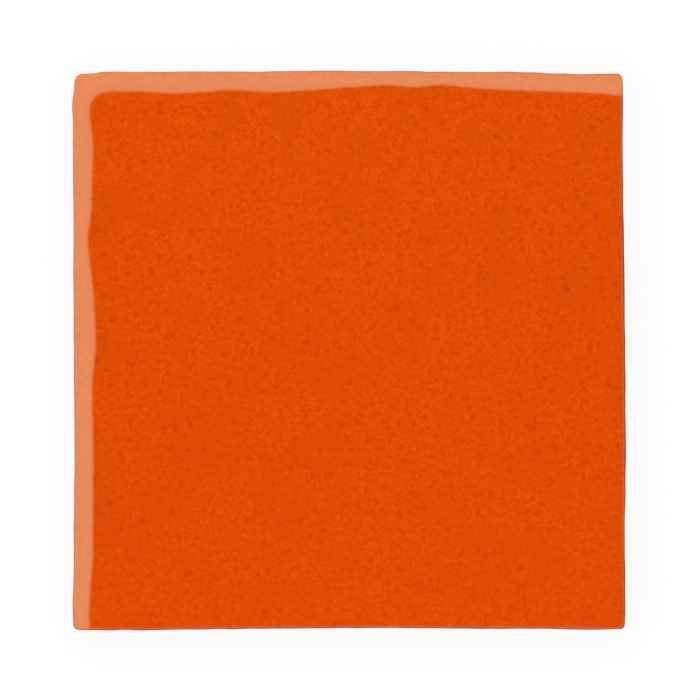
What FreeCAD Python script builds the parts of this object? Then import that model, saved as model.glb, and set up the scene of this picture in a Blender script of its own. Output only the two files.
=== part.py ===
import FreeCAD, Part

import math
import os

# A square glazed wall tile of fired clay, pressed as one piece, for the outer corner of
# a tiled field. Two neighbouring edges, at -X and +Y, are rolled over and glazed; the
# two others, at +X and -Y, are plain butt edges. The back is keyed for adhesive.
# Millimetres, +Z out of the glazed face, origin under the middle of the back.

# Driving dimensions
tile_width = 150.5        # X, from the rolled left edge to the butt right edge
tile_length = 152.2       # Y, from the butt lower edge to the rolled upper edge
thickness = 9.5           # Z, back to glazed face
roll_depth = 5.0          # how far a rolled edge drops before its wall is plumb
roll_corner_radius = 2.5  # outline, where the two rolled edges meet
face_corner_radius = 4.6  # the flat face's own corner there
butt_corner_radius = 1.2  # outline, where the two butt edges meet
arris_radius = 0.8        # rounding of the butt edges and of their ends
back_arris = 0.5          # bevel round the back
key_pitch = 15.0          # grooves in the back, an even number about a central land
key_width = 6.0           # across a groove at its mouth
key_depth = 1.0
key_draft = 0.5           # how much each groove wall leans in
key_side_margin = 12.0    # least land between the outermost groove and the tile's side
key_end_margin = 12.0     # from a groove's end to the tile's edge

# How far each side wanders out (+) or in (-) from straight: (share along it, mm).
# Left and right run from -Y to +Y, lower and upper from -X to +X.
left_wander = [(0.0, -0.05), (0.05, 0.08), (0.12, -0.07), (0.25, -0.23), (0.4, -0.37), (0.49, -0.2),
               (0.6, -0.15), (0.75, -0.05), (0.87, 0.07), (0.92, 0.2), (0.937, 0.44), (0.955, 0.24),
               (0.97, -0.14), (0.985, -0.35), (1.0, -0.35)]
upper_wander = [(0.0, -0.5), (0.036, -0.45), (0.05, -0.06), (0.08, 0.02), (0.2, 0.02), (0.27, 0.1),
                (0.31, 0.01), (0.38, 0.18), (0.46, 0.31), (0.54, 0.15), (0.6, 0.18), (0.66, 0.02),
                (0.78, -0.02), (0.82, -0.25), (0.89, -0.4), (0.93, -0.58), (1.0, -0.57)]
right_wander = [(0.0, 0.1), (0.04, 0.26), (0.14, 0.14), (0.27, 0.32), (0.45, 0.24), (0.6, -0.01),
                (0.75, -0.28), (0.9, -0.38), (1.0, -0.45)]
lower_wander = [(0.0, 0.25), (0.05, 0.32), (0.13, 0.26), (0.2, 0.07), (0.3, -0.03), (0.36, -0.15),
                (0.45, -0.25), (0.55, -0.4), (0.61, -0.26), (0.8, -0.13), (0.9, 0.01), (0.96, 0.1),
                (1.0, 0.04)]
widest_wander = 0.8       # no side strays further than this

# How wide each rolled edge is, seen from above: (share along it, mm).
left_roll = [(0.0, 4.4), (0.2, 5.3), (0.4, 5.2), (0.53, 5.9), (0.7, 4.4), (0.86, 5.2), (1.0, 4.8)]
upper_roll = [(0.0, 5.4), (0.18, 5.7), (0.34, 5.3), (0.5, 4.3), (0.6, 3.9), (0.68, 3.8), (0.8, 4.8),
              (1.0, 5.8)]

# How finely the rolled edges are stepped, and how far the blank runs past its trim
side_stations = 96
corner_stations = 8
trim_spare = 6.0
near = 0.01               # an edge this close to a level lies on it

half_width = tile_width / 2
half_length = tile_length / 2
wall_top = thickness - roll_depth
quarter_turn = math.pi / 2


def along(points, share):
    """Value at a share of the side, on a smooth curve through the points (Catmull-Rom)."""
    share = min(max(share, points[0][0]), points[-1][0])
    last = len(points) - 1
    k = next(i for i in range(last) if share <= points[i + 1][0])
    (s0, v0), (s1, v1) = points[k], points[k + 1]

    def slope(i):
        before, after = points[max(i - 1, 0)], points[min(i + 1, last)]
        return (after[1] - before[1]) / (after[0] - before[0])

    step = s1 - s0
    t = (share - s0) / step
    return ((2 * t**3 - 3 * t**2 + 1) * v0 + (t**3 - 2 * t**2 + t) * step * slope(k)
            + (3 * t**2 - 2 * t**3) * v1 + (t**3 - t**2) * step * slope(k + 1))


def left_line(y, points, outward):
    """X of a line beside the left edge, the points' values outward (1) or inward (-1)."""
    return -half_width - outward * along(points, y / tile_length + 0.5)


def upper_line(x, points, outward):
    """Y of a line beside the upper edge, the same way."""
    return half_length + outward * along(points, x / tile_width + 0.5)


def rim_pairs():
    """(face point, wall point) in plan, up the left edge, round the corner and along the top."""
    start_y = -half_length - trim_spare
    end_x = half_width + trim_spare
    wall_y = half_length - roll_corner_radius
    wall_x = roll_corner_radius - half_width
    face_y = half_length - upper_roll[0][1] - face_corner_radius
    face_x = left_roll[-1][1] + face_corner_radius - half_width
    pairs = []
    for k in range(side_stations):
        share = k / side_stations
        y_face, y_wall = (start_y + share * (y - start_y) for y in (face_y, wall_y))
        pairs.append(((left_line(y_face, left_roll, -1), y_face),
                      (left_line(y_wall, left_wander, 1), y_wall)))
    for k in range(corner_stations + 1):
        turn = quarter_turn * k / corner_stations
        across, up = math.cos(turn), math.sin(turn)
        wall_across = roll_corner_radius + along(left_wander, 1.0)
        wall_up = roll_corner_radius + along(upper_wander, 0.0)
        pairs.append(((face_x - face_corner_radius * across, face_y + face_corner_radius * up),
                      (wall_x - wall_across * across, wall_y + wall_up * up)))
    for k in range(1, side_stations + 1):
        share = k / side_stations
        x_face, x_wall = (x + share * (end_x - x) for x in (face_x, wall_x))
        pairs.append(((x_face, upper_line(x_face, upper_roll, -1)),
                      (x_wall, upper_line(x_wall, upper_wander, 1))))
    return pairs


def smooth_line(points, places):
    """A curve in plan through the points, which it meets at the given places."""
    curve = Part.BSplineCurve()
    curve.interpolate(Points=[FreeCAD.Vector(x, y, 0) for x, y in points], Parameters=places)
    return curve


def rolled_surface(pairs):
    """Each section is a quarter of an ellipse, level at the face and plumb at the wall."""
    places = [0.0]
    for (face_a, wall_a), (face_b, wall_b) in zip(pairs, pairs[1:]):
        places.append(places[-1] + (math.dist(face_a, face_b) + math.dist(wall_a, wall_b)) / 2)
    rim, foot = (smooth_line(points, places) for points in zip(*pairs))
    at_face, at_wall = FreeCAD.Vector(0, 0, thickness), FreeCAD.Vector(0, 0, wall_top)
    poles = [[face + at_face, wall + at_face, wall + at_wall]
             for face, wall in zip(rim.getPoles(), foot.getPoles())]
    weights = [[1.0, math.cos(quarter_turn / 2), 1.0] for pole in poles]
    surface = Part.BSplineSurface()
    surface.buildFromPolesMultsKnots(poles, rim.getMultiplicities(), [3, 3], rim.getKnots(),
                                     [0.0, 1.0], False, False, rim.Degree, 2, weights)
    return surface


def line(start, end):
    return Part.makeLine(FreeCAD.Vector(*start), FreeCAD.Vector(*end))


def closed_face(edges):
    return Part.Face(Part.Wire(Part.__sortEdges__(edges)))


def blank():
    """The tile before its two butt edges are trimmed, sewn from its faces."""
    pairs = rim_pairs()
    roll = rolled_surface(pairs).toShape()
    rim = next(e for e in roll.Edges if e.BoundBox.ZMin > thickness - near)
    foot = next(e for e in roll.Edges if e.BoundBox.ZMax < wall_top + near)
    ends = [e for e in roll.Edges if not (e.isSame(rim) or e.isSame(foot))]
    lower_end = min(ends, key=lambda e: e.BoundBox.YMin)
    right_end = max(ends, key=lambda e: e.BoundBox.XMax)
    wall = foot.extrude(FreeCAD.Vector(0, 0, -wall_top))
    wall_base = next(e for e in wall.Edges if e.BoundBox.ZMax < near)
    far = (half_width + trim_spare, -half_length - trim_spare)
    (rim_start, foot_start), (rim_end, foot_end) = pairs[0], pairs[-1]
    up_left = line((*foot_start, 0), (*foot_start, wall_top))
    up_right = line((*foot_end, 0), (*foot_end, wall_top))
    up_far = line((*far, 0), (*far, thickness))
    top_lower = line((*rim_start, thickness), (*far, thickness))
    top_right = line((*far, thickness), (*rim_end, thickness))
    back_lower = line((*foot_start, 0), (*far, 0))
    back_right = line((*far, 0), (*foot_end, 0))
    faces = [roll, wall,
             closed_face([rim, top_lower, top_right]),
             closed_face([wall_base, back_lower, back_right]),
             closed_face([lower_end, up_left, back_lower, up_far, top_lower]),
             closed_face([right_end, up_right, back_right, up_far, top_right])]
    shell = Part.Shell(Part.makeCompound(faces).Faces)
    shell.sewShape()
    solid = Part.Solid(shell)
    if solid.Volume < 0:
        solid.reverse()
    return solid


def kept_side(curve_points, corners):
    """A slab, taller than the tile, bounded by a wandering side and by straight ones."""
    below = FreeCAD.Vector(0, 0, -trim_spare)
    curve = Part.BSplineCurve()
    curve.interpolate([FreeCAD.Vector(*point) for point in curve_points])
    outline = [curve_points[-1]] + corners + [curve_points[0]]
    straights = [line((*a, 0), (*b, 0)) for a, b in zip(outline, outline[1:])]
    slab = closed_face([curve.toShape()] + straights).translated(below)
    return slab.extrude(FreeCAD.Vector(0, 0, thickness + 2 * trim_spare))


def trimmed(solid):
    """Cuts the right and lower sides to their wandering butt edges."""
    past_x, past_y = half_width + 2 * trim_spare, half_length + 2 * trim_spare
    right = [(half_width + right_wander[0][1], -past_y)]
    right += [(half_width + out, (share - 0.5) * tile_length) for share, out in right_wander]
    right += [(half_width + right_wander[-1][1], past_y)]
    lower = [(-past_x, -half_length - lower_wander[0][1])]
    lower += [((share - 0.5) * tile_width, -half_length - out) for share, out in lower_wander]
    lower += [(past_x, -half_length - lower_wander[-1][1])]
    left_of_right = kept_side(right, [(-past_x, past_y), (-past_x, -past_y)])
    above_lower = kept_side(lower, [(past_x, past_y), (-past_x, past_y)])
    return solid.common(left_of_right).common(above_lower)


def softened(solid):
    """Rounds the butt edges and their corners, then bevels the back's outline."""
    reach = 2 * widest_wander

    def by_right(edge):
        return edge.BoundBox.XMin > half_width - reach

    def by_lower(edge):
        return edge.BoundBox.YMax < reach - half_length

    corner = [e for e in solid.Edges if by_right(e) and by_lower(e)]
    solid = solid.makeFillet(butt_corner_radius, corner)
    butt = [e for e in solid.Edges if e.BoundBox.ZMax > near and (by_right(e) or by_lower(e))
            and not (e.BoundBox.ZMin < near and by_right(e) and by_lower(e))]
    solid = solid.makeFillet(arris_radius, butt)
    return solid.makeChamfer(back_arris, [e for e in solid.Edges if e.BoundBox.ZMax < near])


def centred(solid):
    box = solid.optimalBoundingBox(False, False)
    return solid.translated(FreeCAD.Vector(-box.Center.x, -box.Center.y, 0))


def key_groove(x):
    """One groove with leaning walls, from the back's plane up into the body."""
    half_run = half_length - key_end_margin
    sections = []
    for z, inset in ((0.0, 0.0), (key_depth, key_draft)):
        across, up = key_width / 2 - inset, half_run - inset
        sections.append(Part.makePolygon([
            FreeCAD.Vector(x + side * across, end * up, z)
            for side, end in ((-1, -1), (1, -1), (1, 1), (-1, 1), (-1, -1))]))
    return Part.makeLoft(sections, True, True)


def keyed(solid):
    """Grooves either side of a central land, as many as the width has room for."""
    furthest = half_width - key_side_margin - key_width / 2
    for k in range(int(furthest / key_pitch + 0.5)):
        for side in (-1, 1):
            solid = solid.cut(key_groove(side * (k + 0.5) * key_pitch))
    return solid


tile = keyed(centred(softened(trimmed(blank()))))

os.makedirs("parts", exist_ok=True)
tile.exportStep("parts/glazed_tile.step")
print("solids", len(tile.Solids), "valid", tile.isValid(), "volume", round(tile.Volume, 1))
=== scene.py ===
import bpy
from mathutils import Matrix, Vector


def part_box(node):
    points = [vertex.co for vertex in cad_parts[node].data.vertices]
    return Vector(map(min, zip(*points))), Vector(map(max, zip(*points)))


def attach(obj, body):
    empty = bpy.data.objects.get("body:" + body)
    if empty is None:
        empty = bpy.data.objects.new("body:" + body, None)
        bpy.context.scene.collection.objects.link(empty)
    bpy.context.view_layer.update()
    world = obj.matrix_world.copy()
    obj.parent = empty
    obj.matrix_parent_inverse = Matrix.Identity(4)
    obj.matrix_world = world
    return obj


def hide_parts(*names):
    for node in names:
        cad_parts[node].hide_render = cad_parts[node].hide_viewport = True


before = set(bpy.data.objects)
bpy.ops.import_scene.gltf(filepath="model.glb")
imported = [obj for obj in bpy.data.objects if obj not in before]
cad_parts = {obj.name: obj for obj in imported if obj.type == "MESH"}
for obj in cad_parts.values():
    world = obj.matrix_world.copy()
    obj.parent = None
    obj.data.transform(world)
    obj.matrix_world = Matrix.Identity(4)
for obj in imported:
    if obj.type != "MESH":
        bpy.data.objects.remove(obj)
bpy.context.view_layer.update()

import math

import bpy
import numpy as np

# Glazed corner tile, rolled over on two neighbouring edges. Built as one closed surface in
# millimetres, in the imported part's own frame, and written to the mesh in metres.

mm = 0.001
quarterTurn = math.pi / 2
up = np.array([0.0, 0.0, 1.0])

# Shape of the piece. Curves are lists of (share along the side, mm); left and right run
# from -Y to +Y, lower and upper from -X to +X.
tileShape = {
    "width": 150.5,            # between straight sides, before they wander
    "length": 152.2,
    "rollDepth": 5.0,          # how far a rolled edge drops before its wall is plumb
    "outlineCorner": 2.5,      # radius where the rolled edges meet, at the wall
    "faceCorner": 4.6,         # and where the flat face ends there
    "buttCorner": 1.2,         # radius where the two butt edges meet
    "arris": 0.8,              # rounding of the butt edges
    "arrisAtWall": 1.2,        # and of their ends, where a rolled wall meets a butt side
    "arrisEase": 0.7,          # the share of the roll's drop over which one becomes the other
    "backBevel": 0.5,
    "bevelMiddle": 0.3,        # how far in and up the bevel's middle line lies, as a share
    # how far each side strays outwards from its straight line
    "leftWander": [(0.0, -0.05), (0.05, 0.08), (0.12, -0.07), (0.25, -0.23), (0.4, -0.37),
                   (0.49, -0.2), (0.6, -0.15), (0.75, -0.05), (0.87, 0.07), (0.92, 0.2),
                   (0.937, 0.44), (0.955, 0.24), (0.97, -0.14), (0.985, -0.35), (1.0, -0.35)],
    "upperWander": [(0.0, -0.5), (0.036, -0.45), (0.05, -0.06), (0.08, 0.02), (0.2, 0.02),
                    (0.27, 0.1), (0.31, 0.01), (0.38, 0.18), (0.46, 0.31), (0.54, 0.15),
                    (0.6, 0.18), (0.66, 0.02), (0.78, -0.02), (0.82, -0.25), (0.89, -0.4),
                    (0.93, -0.58), (1.0, -0.57)],
    "rightWander": [(0.0, 0.1), (0.04, 0.26), (0.14, 0.14), (0.27, 0.32), (0.45, 0.24),
                    (0.6, -0.01), (0.75, -0.28), (0.9, -0.38), (1.0, -0.45)],
    "lowerWander": [(0.0, 0.25), (0.05, 0.32), (0.13, 0.26), (0.2, 0.07), (0.3, -0.03),
                    (0.36, -0.15), (0.45, -0.25), (0.55, -0.4), (0.61, -0.26), (0.8, -0.13),
                    (0.9, 0.01), (0.96, 0.1), (1.0, 0.04)],
    # how wide the two rolls are
    "leftRoll": [(0.0, 4.4), (0.2, 5.3), (0.4, 5.2), (0.53, 5.9), (0.7, 4.4), (0.86, 5.2),
                 (1.0, 4.8)],
    "upperRoll": [(0.0, 5.4), (0.18, 5.7), (0.34, 5.3), (0.5, 4.3), (0.6, 3.9), (0.68, 3.8),
                  (0.8, 4.8), (1.0, 5.8)],
    # ripples: rms height and length from crest to crest in mm, and the seed of the draw
    "swell": [(0.035, 46, 1), (0.0175, 19, 2)],    # gentle rise and fall of the face
    "lump": [(0.049, 21, 3), (0.0315, 8, 4)],      # hand-worked lumps along the sides
    "lumpFade": (0.9, 0.2),    # how level the surface is where lumps start and are full
    "rollCells": 14,           # mesh cells across a rolled edge, the face, an arris, a wall
    "faceCells": 150,
    "arrisCells": 5,
    "wallCells": 15,
    "fan": math.radians(40),   # half the sweep that the rolled corner's own cells take
    "buttFan": quarterTurn / 2,
    "smoothOver": 8,           # places either way that a wall's outward direction is taken over
}

# Grooves pressed into the back, either side of a central land. The back's lines turn
# straight over the easeCells next to its border.
keyShape = {"count": 8, "pitch": 15.0, "width": 6.0, "depth": 1.0, "draft": 0.5,
            "endMargin": 12.0, "easeCells": 9}


# Smooth curve through points: on each stretch a cubic whose end slopes are those of the
# chords across the neighbouring points.
def throughPoints(points, share):
    place, value = np.array(points).T
    last = len(place) - 1
    number = np.arange(last + 1)
    before, after = np.maximum(number - 1, 0), np.minimum(number + 1, last)
    slope = (value[after] - value[before]) / (place[after] - place[before])
    share = np.clip(share, place[0], place[-1])
    k = np.clip(np.searchsorted(place, share, side="right") - 1, 0, last - 1)
    step = place[k + 1] - place[k]
    t = (share - place[k]) / step
    return ((2 * t**3 - 3 * t**2 + 1) * value[k] + (t**3 - 2 * t**2 + t) * step * slope[k]
            + (3 * t**2 - 2 * t**3) * value[k + 1] + (t**3 - t**2) * step * slope[k + 1])


# Hand-made unevenness: for each ripple the sum of nine sine waves of random heading and
# phase, whose lengths lie within about a third of its own, scaled to its rms height.
def ripple(x, y, ripples):
    waves, wholeTurn = 9, 2 * math.pi
    shortest, longest = 0.7, 1.35      # a wave's length as a share of the ripple's
    total = np.zeros(np.broadcast(x, y).shape)
    for high, waveLength, seed in ripples:
        draws = np.random.default_rng(seed).uniform(
            (0, 0, shortest), (wholeTurn, wholeTurn, longest), (waves, 3))
        for heading, phase, stretch in draws:
            along = x * math.cos(heading) + y * math.sin(heading)
            wave = np.sin(wholeTurn / (waveLength * stretch) * along + phase)
            total += high / math.sqrt(waves / 2) * wave
    return total


# Rises from 0 at low to 1 at high as 3t^2 - 2t^3 of the share t of the way, held at its ends
def smoothStep(low, high, value):
    t = np.clip((value - low) / (high - low), 0, 1)
    return t * t * (3 - 2 * t)


# A side's line: straight on for `run`, then round an arc of `radius` through `sweep`.
# Returns the distance run and the angle turned at each share of the whole length.
def runAndTurn(share, run, radius, sweep):
    distance = share * (run + radius * sweep)
    return np.minimum(distance, run), np.maximum(distance - run, 0) / radius


# Plan lines of the piece while its sides are straight: for each side the inner line, where
# the face starts to fall, and the outer line at the wall. Each runs along its side, a rolled
# side's inner line keeping to the roll's width, and then round its part of a corner's arc,
# where the angle turned gives the place as the radius times its cosine and sine.
def planLines(p, share):
    halfW, halfL, arris = p["width"] / 2, p["length"] / 2, p["arris"]
    half, fan = quarterTurn / 2, p["fan"]
    leftRoll, upperRoll = p["leftRoll"], p["upperRoll"]
    face, corner, butt = p["faceCorner"], p["outlineCorner"], p["buttCorner"]
    cx, cy = leftRoll[-1][1] + face - halfW, halfL - upperRoll[0][1] - face
    lines = {}

    run, turn = runAndTurn(share, cy + halfL - arris, face, half)
    x = np.where(turn > 0, cx - face * np.cos(turn),
                 throughPoints(leftRoll, run / (cy + halfL - arris)) - halfW)
    lines["leftIn"] = x, run - halfL + arris + face * np.sin(turn)
    run, turn = runAndTurn(share, 2 * halfL - arris - corner, corner, half - fan)
    lines["leftOut"] = (corner - halfW - corner * np.cos(turn),
                        run - halfL + arris + corner * np.sin(turn))

    run, turn = runAndTurn(1 - share, halfW - arris - cx, face, half)
    y = np.where(turn > 0, cy + face * np.cos(turn),
                 halfL - throughPoints(upperRoll, 1 - run / (halfW - arris - cx)))
    lines["upperIn"] = halfW - arris - run - face * np.sin(turn), y
    run, turn = runAndTurn(1 - share, 2 * halfW - arris - corner, corner, half - fan)
    lines["upperOut"] = (halfW - arris - run - corner * np.sin(turn),
                         halfL - corner + corner * np.cos(turn))

    rightTop, lowerStart = halfL - upperRoll[-1][1], leftRoll[0][1] - halfW
    for name, radius, sweep in (("In", butt - arris, half), ("Out", butt, half - p["buttFan"])):
        run, turn = runAndTurn(1 - share, rightTop + halfL - butt, radius, sweep)
        lines["right" + name] = (halfW - butt + radius * np.cos(turn),
                                 rightTop - run - radius * np.sin(turn))
        run, turn = runAndTurn(share, halfW - butt - lowerStart, radius, sweep)
        lines["lower" + name] = (lowerStart + run + radius * np.sin(turn),
                                 butt - halfL - radius * np.cos(turn))
    return {name: np.stack(line, -1) for name, line in lines.items()}


# Hand-made sides: every point shifts by its share of the wander of the two sides it lies
# between, so the straight outline becomes the wandering one.
def wander(p, x, y):
    u, v = x / p["width"] + 0.5, y / p["length"] + 0.5
    uIn, vIn = np.clip(u, 0, 1), np.clip(v, 0, 1)
    dx = uIn * throughPoints(p["rightWander"], v) - (1 - uIn) * throughPoints(p["leftWander"], v)
    dy = vIn * throughPoints(p["upperWander"], u) - (1 - vIn) * throughPoints(p["lowerWander"], u)
    return x + dx, y + dy


# Fills the inside of four side lines (a Coons patch): each pair of facing lines blended
# across, added together, less the blend of the four corners that both pairs hold.
def filledBetween(lower, upper, left, right):
    share = np.linspace(0, 1, len(lower))
    u, v = share[:, None, None], share[None, :, None]
    corners = ((1 - u) * (1 - v) * lower[0] + u * (1 - v) * lower[-1]
               + (1 - u) * v * upper[0] + u * v * upper[-1])
    return ((1 - v) * lower[:, None] + v * upper[:, None]
            + (1 - u) * left[None] + u * right[None] - corners)


# The glazed side, rolls and arrises included, on one square grid of columns and rows. The
# middle cells fill the plan lines. Across a roll the section is a quarter of an ellipse: the
# plan runs from the inner line to the outer as sin(t) and the height drops as 1 - cos(t).
# At the two rolls' corner the same section is fanned round. Across an arris a point moves
# out as sin(s) and sinks along the surface's normal as 1 - cos(s).
def glazedSide(p, top):
    roll, mid, arris = p["rollCells"], p["faceCells"], p["arrisCells"]
    count = roll + mid + arris
    right = roll + mid
    size, drop = p["arris"], p["rollDepth"]
    line = planLines(p, np.linspace(0, 1, mid + 1))
    point, normal = np.zeros((2, count + 1, count + 1, 3))
    columns, rows = slice(roll, right + 1), slice(arris, arris + mid + 1)
    point[columns, rows, :2] = filledBetween(
        line["lowerIn"], line["upperIn"], line["leftIn"], line["rightIn"])
    point[..., 2] = top
    normal[...] = up

    def section(inner, outer, turn):
        inner, outer, turn = np.broadcast_arrays(inner, outer, turn[..., None])
        across = outer - inner
        width = np.linalg.norm(across, axis=-1, keepdims=True)
        out, down = np.sin(turn), np.cos(turn)
        place = np.concatenate([inner + out * across, top - drop * (1 - down[..., :1])], -1)
        facing = np.concatenate([across / width * drop * out, width * down[..., :1]], -1)
        return place, facing / np.linalg.norm(facing, axis=-1, keepdims=True)

    fall = quarterTurn * np.arange(roll, -1, -1) / roll
    point[:roll + 1, rows], normal[:roll + 1, rows] = section(
        line["leftIn"][None], line["leftOut"][None], fall[:, None])
    point[columns, arris + mid:], normal[columns, arris + mid:] = section(
        line["upperIn"][:, None], line["upperOut"][:, None], fall[::-1][None, :])

    # where the two rolls meet, a fan about the middle of the face's corner
    a, b = np.meshgrid(np.arange(roll, 0, -1), np.arange(1, roll + 1), indexing="ij")
    level = np.maximum(a, b)
    swing = quarterTurn / 2 + p["fan"] * np.where(a >= b, b / a - 1, 1 - a / b)
    radius = p["outlineCorner"]
    centre = np.array([radius - p["width"] / 2, p["length"] / 2 - radius])
    outer = centre + radius * np.stack([-np.cos(swing), np.sin(swing)], -1)
    inner = np.broadcast_to(line["leftIn"][-1], outer.shape)
    point[:roll, arris + mid + 1:], normal[:roll, arris + mid + 1:] = section(
        inner, outer, quarterTurn * level / roll)

    # the butt edges: out along X on the right, then along -Y at the lower side
    turn = quarterTurn * np.arange(1, arris + 1) / arris
    out, down = np.sin(turn)[:, None, None], np.cos(turn)[:, None, None]

    def rounded(edge, facing, reach, radius):
        place = edge + out * reach - radius * (1 - down) * facing
        return place, down * facing + out * reach / np.linalg.norm(reach, axis=-1, keepdims=True)

    # an arris's radius beside a roll, by how far the roll has dropped there
    def arrisRadius(edge):
        depth = smoothStep(0, p["arrisEase"] * drop, top - edge[:, 2])
        return (size + (p["arrisAtWall"] - size) * depth)[:, None]

    radius = arrisRadius(point[right, arris:])
    reach = np.zeros((mid + roll + 1, 3))
    reach[:mid + 1, :2] = line["rightOut"] - line["rightIn"]
    reach[mid + 1:, 0] = radius[mid + 1:, 0]
    point[right, arris + mid:, 0] -= radius[mid:, 0] - size
    reach[mid:, 0] = radius[mid:, 0]
    point[right + 1:, arris:], normal[right + 1:, arris:] = rounded(
        point[right, arris:], normal[right, arris:], reach, radius)

    radius = arrisRadius(point[:right + 1, arris])
    reach = np.zeros((right + 1, 3))
    reach[roll:, :2] = line["lowerOut"] - line["lowerIn"]
    reach[:roll + 1, 1] = -radius[:roll + 1, 0]
    point[:roll + 1, arris, 1] += radius[:roll + 1, 0] - size
    place, facing = rounded(point[:right + 1, arris], normal[:right + 1, arris], reach, radius)
    point[:right + 1, :arris], normal[:right + 1, :arris] = (
        place[::-1].swapaxes(0, 1), facing[::-1].swapaxes(0, 1))

    # where the two butt edges meet, a fan about the middle of the face's corner
    a, b = np.meshgrid(np.arange(1, arris + 1), np.arange(arris, 0, -1), indexing="ij")
    level = quarterTurn * np.maximum(a, b)[..., None] / arris
    swing = -quarterTurn / 2 + p["buttFan"] * np.where(b >= a, a / b - 1, 1 - b / a)
    radius = p["buttCorner"]
    centre = np.array([p["width"] / 2 - radius, radius - p["length"] / 2])
    outer = centre + radius * np.stack([np.cos(swing), np.sin(swing)], -1)
    across = outer - line["lowerIn"][-1]
    out, down = np.sin(level), np.cos(level)
    point[right + 1:, :arris] = np.concatenate(
        [line["lowerIn"][-1] + out * across, top - size * (1 - down)], -1)
    normal[right + 1:, :arris] = np.concatenate(
        [out * across / np.linalg.norm(across, axis=-1, keepdims=True), down], -1)
    return point, normal / np.linalg.norm(normal, axis=-1, keepdims=True)


# A grid's cells, as the numbers of their four points
def gridCells(number):
    corners = number[:-1, :-1], number[1:, :-1], number[1:, 1:], number[:-1, 1:]
    return np.stack(corners, -1).reshape(-1, 4)


# A grid's border once round, anticlockwise from above: lower, right, upper and left side
def borderOf(number):
    return np.concatenate([number[:-1, 0], number[-1, :-1], number[:0:-1, -1], number[0, :0:-1]])


# Lines at all the anchors, with the rest of the cells shared out between them by width
def linesThrough(anchors, count):
    anchors = np.array(anchors)
    spans = np.diff(anchors)
    want = spans / spans.sum() * (count - len(spans))
    cells = 1 + np.floor(want).astype(int)
    cells[np.argsort(np.floor(want) - want)[:count - cells.sum()]] += 1
    parts = [np.linspace(start, end, n, endpoint=False)
             for start, end, n in zip(anchors, anchors[1:], cells)]
    return np.concatenate(parts + [anchors[-1:]])


# The back: the border's own cells in the margin, easing into straight columns and rows
# whose lines follow the grooves. A groove is a trapezoid both ways: its depth times the
# lesser share of its draft that lies between the point and the groove's side or end.
def keyedBack(p, k, border):
    count = len(border) // 4
    lower, right = border[:count + 1], border[count:2 * count + 1]
    upper = border[2 * count:3 * count + 1][::-1]
    left = np.concatenate([border[3 * count:], border[:1]])[::-1]
    edgeX, edgeY = np.abs(border).max(0)
    halfWide, halfRun = k["width"] / 2, p["length"] / 2 - k["endMargin"]
    middles = (np.arange(k["count"]) - (k["count"] - 1) / 2) * k["pitch"]
    across = np.array([-halfWide, k["draft"] - halfWide, halfWide - k["draft"], halfWide])
    columns = linesThrough([-edgeX, *(middles[:, None] + across).ravel(), edgeX], count)
    rows = linesThrough(
        [-edgeY, -halfRun, k["draft"] - halfRun, halfRun - k["draft"], halfRun, edgeY], count)
    straight = np.stack(np.meshgrid(columns, rows, indexing="ij"), -1)
    steps = np.minimum(np.arange(count + 1), np.arange(count, -1, -1))
    ease = smoothStep(0, k["easeCells"], np.minimum(steps[:, None], steps[None]))[..., None]
    plan = filledBetween(lower, upper, left, right) * (1 - ease) + straight * ease
    toMiddle = np.abs(columns[:, None] - middles).min(1)
    side = np.clip((halfWide - toMiddle) / k["draft"], 0, 1)
    end = np.clip((halfRun - np.abs(rows)) / k["draft"], 0, 1)
    height = k["depth"] * np.minimum(side[:, None], end[None])
    return np.concatenate([plan, height[..., None]], -1)


# How far the pale border reaches in along the two rolled edges, and the radius of its
# inner line's corner
paleBorder = {
    "left": [(0.0, 4.35), (0.04, 4.45), (0.08, 4.8), (0.14, 5.35), (0.2, 5.3), (0.3, 5.5),
             (0.36, 5.3), (0.43, 5.15), (0.46, 5.4), (0.5, 6.05), (0.55, 5.95), (0.61, 5.4),
             (0.65, 4.6), (0.7, 3.95), (0.74, 4.8), (0.8, 5.1), (0.87, 5.35), (0.92, 4.55),
             (1.0, 4.45)],
    "upper": [(0.0, 5.4), (0.11, 5.35), (0.18, 5.85), (0.24, 5.45), (0.29, 5.0), (0.36, 5.5),
              (0.42, 5.1), (0.49, 4.3), (0.57, 3.65), (0.62, 4.15), (0.67, 3.55), (0.71, 4.15),
              (0.78, 4.9), (0.88, 5.4), (0.94, 5.75), (0.98, 6.25), (1.0, 6.3)],
    "corner": 5.5,
}


# Distance inside the border's inner line: to the nearer of its two wavy lines, or near
# their corner the radius less the distance from the arc's middle. Negative in the border.
def insideBorder(p, b, x, y):
    left = x + p["width"] / 2 - throughPoints(b["left"], y / p["length"] + 0.5)
    upper = p["length"] / 2 - y - throughPoints(b["upper"], x / p["width"] + 0.5)
    radius = b["corner"]
    a, c = radius - left, radius - upper
    fromMiddle = np.hypot(np.maximum(a, 0), np.maximum(c, 0))
    return radius - fromMiddle - np.minimum(np.maximum(a, c), 0)


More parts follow.
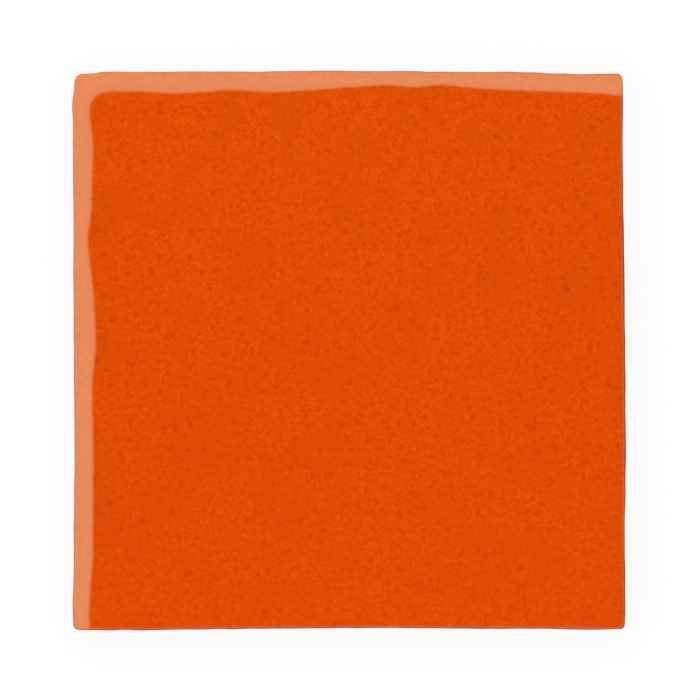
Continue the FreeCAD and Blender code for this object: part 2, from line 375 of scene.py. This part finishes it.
# Where the glaze stops on the walls, and how it runs there. Rolled walls are dipped nearly
# to the back; the butt sides only catch a lip and some runs. Sizes in mm.
glazeEnd = {
    "rolledHeight": 1.25,      # above the back, with its waves
    "rolledWaves": [(0.24, 16, 5), (0.12, 5, 6)],
    "lip": 1.35,               # below the face
    "lipWaves": [(0.176, 13, 7), (0.11, 4, 8)],
    "leastLip": 1.0,
    "wrap": 3.0,               # how far rolled glaze wraps round onto a butt side
    "runs": 13,
    "runLength": (0.15, 1.5),  # the shortest and the longest
    "runWidth": 2.2,
    "runSeed": 31,
    "bead": 0.06,              # how far the glaze stands out from the clay
    "beadFoot": (-0.25, 0.15),  # it comes out between these heights about its end
    "beadTop": 0.5,            # height above its end where it swells most
    "beadWidth": 0.45,
    "tooling": [(0.04, 6, 9)],  # unevenness of the walls
    "toolingLean": 0.3,        # how far it leans along X as it goes up
    "wallEase": 0.4,           # share of the wall, from its top, over which both come in
}


# Height of the glaze's end at each place round the border, whose lower and right sides come
# first and are butt. The rolled height and the lip both carry ripples. A run's depth is its
# length times exp(-d^2) of its distance d along the side, in run widths.
def glazeLine(g, ring, top):
    x, y = ring[:, 0], ring[:, 1]
    steps = np.linalg.norm(np.diff(ring[:, :2], axis=0), axis=-1)
    run = np.concatenate([[0], np.cumsum(steps)])
    buttEnd = run[len(ring) // 2]
    rolled = g["rolledHeight"] + ripple(x, y, g["rolledWaves"])
    lip = g["lip"] + ripple(x, y, g["lipWaves"])
    shortest, longest = g["runLength"]
    draws = np.random.default_rng(g["runSeed"]).uniform(
        (0, shortest), (buttEnd, longest), (g["runs"], 2))
    for place, length in draws:
        lip += length * np.exp(-((run - place) / g["runWidth"]) ** 2)
    butt = smoothStep(0, g["wrap"], np.minimum(run, buttEnd - run))
    return rolled + (top - np.maximum(lip, g["leastLip"]) - rolled) * butt


# The whole piece: the glazed side, walls that run straight down from its border, a rounded
# bevel and the back. On a wall the clay lies in by the bead's size, a smooth step at the
# glaze's end brings it out again, and a bell of half that size swells it just above.
# Along with them come values at each point: the distance inside the pale border, the
# height above the glaze's end, and how level the surface is (1 face, 0 wall, -1 back).
def buildTile(p, k, g):
    low, high = (np.array(corner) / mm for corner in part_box("glazed_tile"))
    top = high[2] - low[2]
    point, normal = glazedSide(p, top)
    count = len(point) - 1
    x, y = wander(p, point[..., 0], point[..., 1])
    inside = insideBorder(p, paleBorder, x, y)
    level = normal[..., 2]
    point[..., 0], point[..., 1] = x, y
    lumps = ripple(x, y, p["lump"]) * smoothStep(*p["lumpFade"], level)
    point += (ripple(x, y, p["swell"]) * level + lumps)[..., None] * normal
    plan = point[..., :2].reshape(-1, 2)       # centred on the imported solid
    point[..., :2] += (low[:2] + high[:2] - plan.min(0) - plan.max(0)) / 2

    number = np.arange(level.size).reshape(level.shape)
    border = borderOf(number)
    ring = point.reshape(-1, 3)[border]
    # outwards is square to the way along the border, taken over several places either way
    ahead = sum(np.roll(ring, -n, 0) - np.roll(ring, n, 0) for n in range(1, p["smoothOver"] + 1))
    outward = np.stack([ahead[:, 1], -ahead[:, 0]], -1)
    outward /= np.linalg.norm(outward, axis=-1, keepdims=True)
    endLine = glazeLine(g, ring, top)

    share = (np.arange(1, p["wallCells"] + 1) / p["wallCells"])[:, None]
    wallZ = ring[:, 2] + (p["backBevel"] - ring[:, 2]) * share
    above = wallZ - endLine
    bell = np.exp(-((above - g["beadTop"]) / g["beadWidth"]) ** 2)
    proud = g["bead"] * (smoothStep(*g["beadFoot"], above) - 1 + bell / 2)
    tooled = ripple(ring[:, 0] + g["toolingLean"] * wallZ, ring[:, 1] + wallZ, g["tooling"])
    offset = smoothStep(0, g["wallEase"], share) * (proud + tooled)
    wall = np.concatenate([ring[:, :2] + offset[..., None] * outward, wallZ[..., None]], -1)
    shrink = p["backBevel"] / np.abs(wall[-1, :, :2]).max(0)
    middle = p["bevelMiddle"]
    bevel = wall[-1] * (*(1 - middle * shrink), middle)
    back = keyedBack(p, k, wall[-1, :, :2] * (1 - shrink))

    sides = np.concatenate([wall.reshape(-1, 3), bevel])
    points = np.concatenate([point.reshape(-1, 3), sides, back.reshape(-1, 3)])
    points[:, 2] += low[2]
    backNumber = number + number.size + len(sides)
    sideNumber = number.size + np.arange(len(sides)).reshape(-1, 4 * count)
    rings = np.concatenate([border[None], sideNumber, borderOf(backNumber)[None]])
    upper, under = rings[:-1], rings[1:]
    sideFaces = np.stack([upper, under, np.roll(under, -1, 1), np.roll(upper, -1, 1)], -1)
    faces = np.concatenate(
        [gridCells(number), sideFaces.reshape(-1, 4), gridCells(backNumber)[:, ::-1]])

    # on the glazed side the glaze's end is that of the nearest place on a butt side
    steps = np.arange(count + 1)
    fromRight, fromLower = (count - steps)[:, None], steps[None]
    station = np.where(fromRight < fromLower, count + steps[None], steps[:, None])
    inward = np.maximum(np.minimum(fromRight, fromLower) - p["arrisCells"], 0)
    reach = point[..., 2] - endLine[station] + inward

    def values(onFace, onWall, onBevel, onBack):
        onWall = np.broadcast_to(onWall, wallZ.shape).ravel()
        onBevel, onBack = np.broadcast_to(onBevel, border.shape), np.full(number.size, onBack)
        return np.concatenate([onFace.ravel(), onWall, onBevel, onBack])

    insideRing, bare = inside.ravel()[border], -1.0
    atPoints = {"paleEdge": values(inside, insideRing, insideRing, 0.0),
                "glazeReach": values(reach, above, bare, bare),
                "level": values(level, 0.0, -0.5, -1.0)}
    uv = bakeMap(p, count, len(rings) - 1, faces, backNumber[0, 0])
    return points * mm, faces, atPoints, uv


# Parts of the flat map for baking, as shares of its width
layout = {"face": 0.70, "gap": 0.012, "back": 0.26, "wall": 0.046}


# The flat map in the unit square: the glazed side opened out, each cell as wide as its share
# of a roll's, the face's or an arris's own width, each wall as an even strip beside it, and
# the back small below.
def bakeMap(p, count, bands, faces, backStart):
    cells = p["rollCells"], p["faceCells"], p["arrisCells"]
    lengths = np.array([quarterTurn * p["rollDepth"], p["width"] - p["rollDepth"] - p["arris"],
                        quarterTurn * p["arris"]])
    across = np.cumsum(np.repeat(lengths / cells, cells))
    across = np.concatenate([[0], across]) / across[-1]
    u, v = np.meshgrid(across, 1 - across[::-1], indexing="ij")
    gap, face, wall = layout["gap"], layout["face"], layout["wall"]
    corner = 1 - gap - face
    faceUv = np.stack([gap + face * u, corner + face * v], -1)
    backUv = (gap + layout["back"] * np.stack([u, v], -1))[::-1]
    faceCount = count * count
    faceLoops = faceUv.reshape(-1, 2)[faces[:faceCount]]
    backLoops = backUv.reshape(-1, 2)[faces[-faceCount:] - backStart]
    side, place = np.divmod(np.arange(4 * count), count)
    down = (np.arange(bands)[:, None, None] + np.array([0, 1, 1, 0])) / bands
    ahead = (place[:, None] + np.array([0, 0, 1, 1])) / count
    left = 2 * gap + face + (side * (wall + gap))[:, None]
    strips = np.stack(np.broadcast_arrays(left + wall * down, corner + face * ahead), -1)
    return np.concatenate([loops.reshape(-1, 2) for loops in (faceLoops, strips, backLoops)])


# A smooth mesh object from whole arrays, with values at its points and a map for baking.
# Edges that turn through more than sharpTurn stay sharp.
def meshFrom(name, points, faces, attributes, uv, sharpTurn=math.radians(50)):
    mesh = bpy.data.meshes.new(name)
    mesh.from_pydata(points.tolist(), [], faces.tolist())
    for title, values in attributes.items():
        attribute = mesh.attributes.new(title, "FLOAT", "POINT")
        attribute.data.foreach_set("value", values.astype(np.float32))
    mesh.uv_layers.new(name="OFBake").data.foreach_set("uv", uv.astype(np.float32).ravel())
    mesh.shade_smooth()
    mesh.set_sharp_from_angle(angle=sharpTurn)
    piece = bpy.data.objects.new(name, mesh)
    bpy.context.scene.collection.objects.link(piece)
    return piece


# One value in a material. Sums, differences and products of values add Math nodes.
class Value:
    def __init__(self, shader, socket):
        self.shader, self.socket = shader, socket

    def __add__(self, other):
        return self.shader.math("ADD", self, other)

    def __sub__(self, other):
        return self.shader.math("SUBTRACT", self, other)

    def __rsub__(self, other):
        return self.shader.math("SUBTRACT", other, self)

    def __mul__(self, other):
        return self.shader.math("MULTIPLY", self, other)

    __radd__, __rmul__ = __add__, __mul__


# The nodes of one material or world. Every node comes from add().
class Shader:
    def __init__(self, owner):
        owner.use_nodes = True
        self.nodes, self.links = owner.node_tree.nodes, owner.node_tree.links
        self.nodes.clear()

    # a node of any type: its settings first, then its sockets' values or links. A socket is
    # named, with _ for a space, or numbered, as i0.
    def add(self, kind, settings=None, out=0, **sockets):
        node = self.nodes.new(kind)
        for name, value in (settings or {}).items():
            if name == "stops":
                ramp = node.color_ramp
                while len(ramp.elements) < len(value):
                    ramp.elements.new(0.5)
                for element, (place, colour) in zip(ramp.elements, value):
                    element.position, element.color = place, (*colour, 1)
            else:
                setattr(node, name, value)
        for name, value in sockets.items():
            numbered = name[0] == "i" and name[1:].isdigit()
            key = int(name[1:]) if numbered else name.replace("_", " ")
            if isinstance(value, Value):
                self.links.new(value.socket, node.inputs[key])
            else:
                node.inputs[key].default_value = value
        return Value(self, node.outputs[out]) if node.outputs else None

    def math(self, operation, first, second=0.0, clamp=False):
        return self.add("ShaderNodeMath", {"operation": operation, "use_clamp": clamp},
                        i0=first, i1=second)

    # 0 at low to 1 at high, smoothly, and held beyond them
    def smooth(self, value, low, high):
        return self.add("ShaderNodeMapRange", {"interpolation_type": "SMOOTHSTEP"},
                        Value=value, From_Min=low, From_Max=high)

    def noise(self, place, size, detail=2.0, roughness=0.5, distortion=0.0):
        return self.add("ShaderNodeTexNoise", Vector=place, Scale=1 / (size * mm), Detail=detail,
                        Roughness=roughness, Distortion=distortion)

    # distance to the nearest of scattered middles, in cells
    def voronoi(self, place, size):
        return self.add("ShaderNodeTexVoronoi", out="Distance", Vector=place,
                        Scale=1 / (size * mm))

    # the place strayed by a noise, so that shapes laid out on it fray
    def shifted(self, place, size, reach):
        stray = self.add("ShaderNodeTexNoise", out="Color", Vector=place, Scale=1 / (size * mm))
        return self.add("ShaderNodeVectorMath", {"operation": "MULTIPLY_ADD"},
                        i0=stray, i1=(reach * mm,) * 3, i2=place)

    def mix(self, share, first, second, blend="MIX"):
        return self.add("ShaderNodeMix", {"data_type": "RGBA", "blend_type": blend}, out=2,
                        i0=share, i6=first, i7=second)

    def attribute(self, name):
        return self.add("ShaderNodeAttribute", {"attribute_name": name}, out=2)

    def finish(self, surface, kind="ShaderNodeOutputMaterial"):
        self.add(kind, Surface=surface)


# Colours are linear, sizes are in mm. A noise is its size, detail, roughness and
# distortion. A pair is where something is none and where it is full: a height or distance,
# a noise's value, or how level the surface is.
glazeFinish = {
    "orange": (0.750, 0.0740, 0.0003, 1),
    "orangeDeep": (0.706, 0.0545, 0.0001, 1),
    "orangeLight": (0.785, 0.0920, 0.0012, 1),
    "clouded": (0.688, 0.0670, 0.0003, 1),
    "speck": (0.53, 0.036, 0.0001, 1),
    "freckle": (0.42, 0.022, 0.0001, 1),
    # the few freckles that stand out, each at x, y from the middle
    "freckles": [(-49.9, 31.6), (45.3, 50.0), (68.3, -34.0), (53.8, -7.5), (22.3, -20.9),
                 (47.2, 30.0), (-37.3, 17.1), (-61.3, -48.5), (52.1, 66.4)],
    "freckleReach": 0.95,
    "freckleShare": 0.9,
    "faceHeight": 9.5,
    "fleck": (0.86, 0.15, 0.012, 1),
    "fartherUp": (1.0, 1.09, 1.0, 1),      # the glaze lies a shade thinner towards +Y,
    "fartherFrom": (-30, 80),              # from here to here along Y
    "pale": (0.765, 0.216, 0.066, 1),
    "paleDeep": (0.682, 0.190, 0.044, 1),
    "paleLevelShade": (0.752, 0.207, 0.066, 1),  # painted shade where the border is still nearly level, tuned against the light's reflection on it
    "paleTurnShade": (0.50, 0.163, 0.056, 1),    # painted shade where it turns over, darkening its outer rim
    "paleWall": (0.60, 0.185, 0.062, 1),   # on the rolled walls below
    "edge": (0.27, 0.055, 0.006, 1),       # painted shade on the right side's arris
    "lowerArrisShade": (0.60, 0.080, 0.006, 1),  # lighter painted shade on the lower side's arris
    "lowerFrom": (-73, -75),               # along Y
    "pooled": (0.34, 0.042, 0.003, 1),     # near the glaze's end
    "clay": (0.66, 0.49, 0.34, 1),
    "clayDark": (0.50, 0.345, 0.225, 1),
    "curdle": (1.15, 2.0, 0.5, 0.5),       # noise of the face's fine mottling
    "curdleDeep": (0.54, 0.28),
    "curdleLight": (0.48, 0.74),
    "cloud": (14.0, 3.0, 0.62),            # noise of its faint clouds
    "cloudDark": (0.60, 0.32),
    "cloudShare": 0.6,
    "specks": [(0.57, 1.0), (0.48, 0.72), (0.42, 0.5)],    # strength and size of each layer
    "speckCell": 4.2,          # about how far apart the larger specks lie
    "speckReach": 1.15,        # and how far one reaches from its middle
    "speckCore": 0.04,         # its even middle, in cells
    "fraySize": 1.0,           # size and reach of what frays specks and freckles
    "frayReach": 0.7,
    "fleckNoise": (1.5, 1.0),
    "flecks": (0.73, 0.80),
    "fleckShare": 0.35,
    "softEdge": 0.58,          # half the width over which the face turns pale
    "borderShift": 0.34,       # how far inside the border's line that lies
    "wobble": (3.0, 2.0),      # noise that wavers the border's edge, and how far
    "borderWobble": 0.4,
    "paleNoise": (1.6, 3.0, 0.6),
    "paleMottle": (0.36, 0.68),
    "flatFrom": (0.78, 0.99),
    "flatShare": 0.7,
    "turnsOver": (0.995, 0.74),
    "turnsLater": 0.44,        # the border stays pale until it is this much steeper
    "wallFrom": (5.4, 4.2),    # heights at which a rolled wall's own colour takes over
    "pooledFrom": (1.25, 0.5),
    "pooledShare": 0.8,
    "stray": (1.4, 2.0),       # noise that frays the glaze's end, and how far
    "ragged": 0.25,
    "glazeStarts": (-0.08, 0.08),
    "grain": (0.7, 4.0, 0.65),  # the clay's grain and its broad stains
    "grainDark": (0.35, 0.7),
    "grainShare": 0.45,
    "stain": (14.0, 3.0),
    "stainDark": (0.45, 0.7),
    "stainShare": 0.3,
    "ior": 1.5,
    "gloss": 0.16,             # roughness of the face, the border, turned edges and clay
    "borderGloss": 0.60,
    "edgeGloss": 0.75,
    "clayRoughness": 0.88,
    "glossNoise": (2.0, 2.0),
    "glossSpread": 0.10,
    "coatNoise": (2.4, 2.0, 0.4),
    "coatHeight": 0.22,        # relief of the glaze over the clay, its ripple and the grain
    "coatRipple": 0.045,
    "grainHeight": 0.09,
    "reliefStrength": 0.6,
}


# Glaze over clay in one material: colours mixed by smooth steps of noises and of the values
# at the mesh's points
def glazeMaterial(f):
    material = bpy.data.materials.new("orangeGlazeOnClay")
    shader = Shader(material)
    place = shader.add("ShaderNodeTexCoord", out="Object")
    farUp, height = (shader.add("ShaderNodeSeparateXYZ", Vector=place, out=axis) for axis in "YZ")
    paleEdge, glazeReach, level = (
        shader.attribute(name) for name in ("paleEdge", "glazeReach", "level"))
    inMetres = lambda pair: (pair[0] * mm, pair[1] * mm)

    # the face: fine curdled mottling over faint clouds, darker specks and a few light flecks
    curdle, cloud = shader.noise(place, *f["curdle"]), shader.noise(place, *f["cloud"])
    face = shader.mix(shader.smooth(curdle, *f["curdleDeep"]), f["orange"], f["orangeDeep"])
    face = shader.mix(shader.smooth(curdle, *f["curdleLight"]), face, f["orangeLight"])
    face = shader.mix(shader.smooth(cloud, *f["cloudDark"]) * f["cloudShare"], face, f["clouded"])
    face = shader.mix(shader.smooth(farUp, *inMetres(f["fartherFrom"])), face,
                      shader.mix(1.0, face, f["fartherUp"], "MULTIPLY"))
    frayed = shader.shifted(place, f["fraySize"], f["frayReach"])
    for share, size in f["specks"]:
        near = shader.voronoi(frayed, f["speckCell"] * size)
        speck = shader.smooth(near, f["speckReach"] / f["speckCell"], f["speckCore"])
        face = shader.mix(speck * share, face, f["speck"])
    for x, y in f["freckles"]:
        near = shader.add("ShaderNodeVectorMath", {"operation": "DISTANCE"}, out="Value",
                          i0=frayed, i1=(x * mm, y * mm, f["faceHeight"] * mm))
        freckle = shader.smooth(near, f["freckleReach"] * mm, 0.0) * f["freckleShare"]
        face = shader.mix(freckle, face, f["freckle"])
    fleck = shader.smooth(shader.noise(place, *f["fleckNoise"]), *f["flecks"])
    face = shader.mix(fleck * f["fleckShare"], face, f["fleck"])

    # the rolled border, where thin glaze breaks pale over the clay
    wobble = shader.noise(place, *f["wobble"]) - 0.5
    fromLine = paleEdge + wobble * f["borderWobble"] - f["borderShift"]
    pale = shader.smooth(fromLine, f["softEdge"], -f["softEdge"])
    mottled = shader.smooth(shader.noise(place, *f["paleNoise"]), *f["paleMottle"])
    border = shader.mix(mottled, f["pale"], f["paleDeep"])
    # painted shade: the border a shade darker where it is still nearly level
    levelShade = shader.smooth(level, *f["flatFrom"]) * f["flatShare"]
    border = shader.mix(levelShade, border, f["paleLevelShade"])
    # painted shade where the surface turns over towards a wall: the less level it is, the darker
    # the border's rim here and the butt arrises below
    shadedTurn = shader.smooth(level + pale * f["turnsLater"], *f["turnsOver"])
    low = shader.smooth(height, *inMetres(f["wallFrom"]))
    border = shader.mix(shadedTurn, border, shader.mix(low, f["paleTurnShade"], f["paleWall"]))
    # painted shade on the butt arrises, lighter along the lower side
    lower = shader.smooth(farUp, *inMetres(f["lowerFrom"]))
    face = shader.mix(shadedTurn, face, shader.mix(lower, f["edge"], f["lowerArrisShade"]))
    glaze = shader.mix(pale, face, border)
    pooled = shader.smooth(glazeReach, *f["pooledFrom"]) * f["pooledShare"]
    glaze = shader.mix(pooled, glaze, f["pooled"])

    # bare clay, where the glaze stops on the walls, and behind
    grain, stain = shader.noise(place, *f["grain"]), shader.noise(place, *f["stain"])
    grains = shader.smooth(grain, *f["grainDark"]) * f["grainShare"]
    stains = shader.smooth(stain, *f["stainDark"]) * f["stainShare"]
    clay = shader.mix(grains, f["clay"], f["clayDark"])
    clay = shader.mix(stains, clay, f["clayDark"])
    stray = (shader.noise(place, *f["stray"]) - 0.5) * (2 * f["ragged"])
    coated = shader.smooth(glazeReach + stray, *f["glazeStarts"])
    colour = shader.mix(coated, clay, glaze)

    gloss = f["gloss"] + pale * (f["borderGloss"] - f["gloss"])
    gloss = gloss + shadedTurn * (f["edgeGloss"] - gloss)
    gloss = gloss + (shader.noise(place, *f["glossNoise"]) - 0.5) * f["glossSpread"]
    roughness = f["clayRoughness"] + coated * (gloss - f["clayRoughness"])
    coat = f["coatHeight"] + f["coatRipple"] * shader.noise(place, *f["coatNoise"])
    relief = coated * coat + (1 - coated) * (f["grainHeight"] * grain)
    normal = shader.add("ShaderNodeBump", Strength=f["reliefStrength"], Distance=mm, Height=relief)
    shader.finish(shader.add("ShaderNodeBsdfPrincipled", Base_Color=colour, Roughness=roughness,
                             Normal=normal, IOR=f["ior"]))
    return material


# Where the tile lies and how it is lit and seen
studio = {
    "floorSize": 6.0,          # in metres
    "floorDrop": 0.05,         # the floor's top below the tile's back, in mm
    "floorColour": (0.95, 0.95, 0.95, 1),
    "floorShare": 0.85,        # how much of the seen floor is plain white
    # strength of the light at each sine of the height above the horizon
    "skyStops": [(0.0, 1.0), (0.08, 1.0), (0.2, 0.5), (0.46, 0.5), (0.58, 1.75), (0.8, 1.75),
                 (0.93, 0.45), (0.97, 0.01), (1.0, 0.01)],
    "keySide": (-0.24, 0.26),  # the light is stronger from the upper left
    "lens": 200.0,
    "frameWidth": 191.0,       # mm across the view, at aimHeight above the tile's back
    "aimHeight": 7.0,
    "cameraShiftX": 0.42,      # how far off centre the camera stands, in mm
    "farthestSeen": 50.0,      # in metres
}


# A square white floor. Part of it shines plain white to the camera and in reflections, so
# that it shows white and still keeps the tile's shadow.
def buildFloor(s):
    half, z = s["floorSize"] / 2, -s["floorDrop"] * mm
    corners = [(-half, -half, z), (half, -half, z), (half, half, z), (-half, half, z)]
    mesh = bpy.data.meshes.new("paleFloor")
    mesh.from_pydata(corners, [], [(0, 1, 2, 3)])
    floor = bpy.data.objects.new("paleFloor", mesh)
    bpy.context.scene.collection.objects.link(floor)
    material = bpy.data.materials.new("whiteSweep")
    shader = Shader(material)
    seen = shader.add("ShaderNodeLightPath", out="Is Camera Ray")
    path = seen.socket.node
    for other in ("Is Glossy Ray", "Is Transmission Ray"):
        seen = shader.math("ADD", seen, Value(shader, path.outputs[other]), clamp=True)
    card = shader.add("ShaderNodeBsdfDiffuse", Color=s["floorColour"])
    glow = shader.add("ShaderNodeEmission", Color=(1, 1, 1, 1), Strength=1.0)
    shader.finish(shader.add("ShaderNodeMixShader", i0=seen * s["floorShare"], i1=card, i2=glow))
    mesh.materials.append(material)


# Soft tent of light, by height above the horizon: plain up to it, dim just above, brightest
# over half way up, dark overhead so that nothing glares off the flat face, and a little
# stronger from the upper left. A ramp's colours end at 1, so it holds half of each strength.
def buildLight(s):
    world = bpy.data.worlds.new("softTent")
    bpy.context.scene.world = world
    shader = Shader(world)
    way = shader.add("ShaderNodeTexCoord", out=0)
    x, y, z = (shader.add("ShaderNodeSeparateXYZ", Vector=way, out=axis) for axis in "XYZ")
    stops = [(sine, (strength / 2,) * 3) for sine, strength in s["skyStops"]]
    ramp = shader.add("ShaderNodeValToRGB", {"stops": stops}, Fac=z)
    keyX, keyY = s["keySide"]
    strength = (1 + keyX * x + keyY * y) * 2
    glow = shader.add("ShaderNodeBackground", Color=ramp, Strength=strength)
    shader.finish(glow, "ShaderNodeOutputWorld")


# Straight above, at the distance where the frame's width fits the lens
def buildCamera(s):
    camera = bpy.data.objects.new("overhead", bpy.data.cameras.new("overhead"))
    bpy.context.scene.collection.objects.link(camera)
    camera.data.lens = s["lens"]
    camera.data.clip_end = s["farthestSeen"]
    distance = s["frameWidth"] * s["lens"] / camera.data.sensor_width
    camera.location = (s["cameraShiftX"] * mm, 0, (distance + s["aimHeight"]) * mm)
    bpy.context.scene.camera = camera


bpy.context.scene.view_settings.view_transform = "Standard"
tile = meshFrom("glazedCornerTile", *buildTile(tileShape, keyShape, glazeEnd))
tile.data.materials.append(glazeMaterial(glazeFinish))
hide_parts("glazed_tile")
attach(tile, "root")
print("tile:", len(tile.data.vertices), "vertices,", len(tile.data.polygons), "faces")
buildFloor(studio)
buildLight(studio)
buildCamera(studio)
print("floor, light and camera in place")
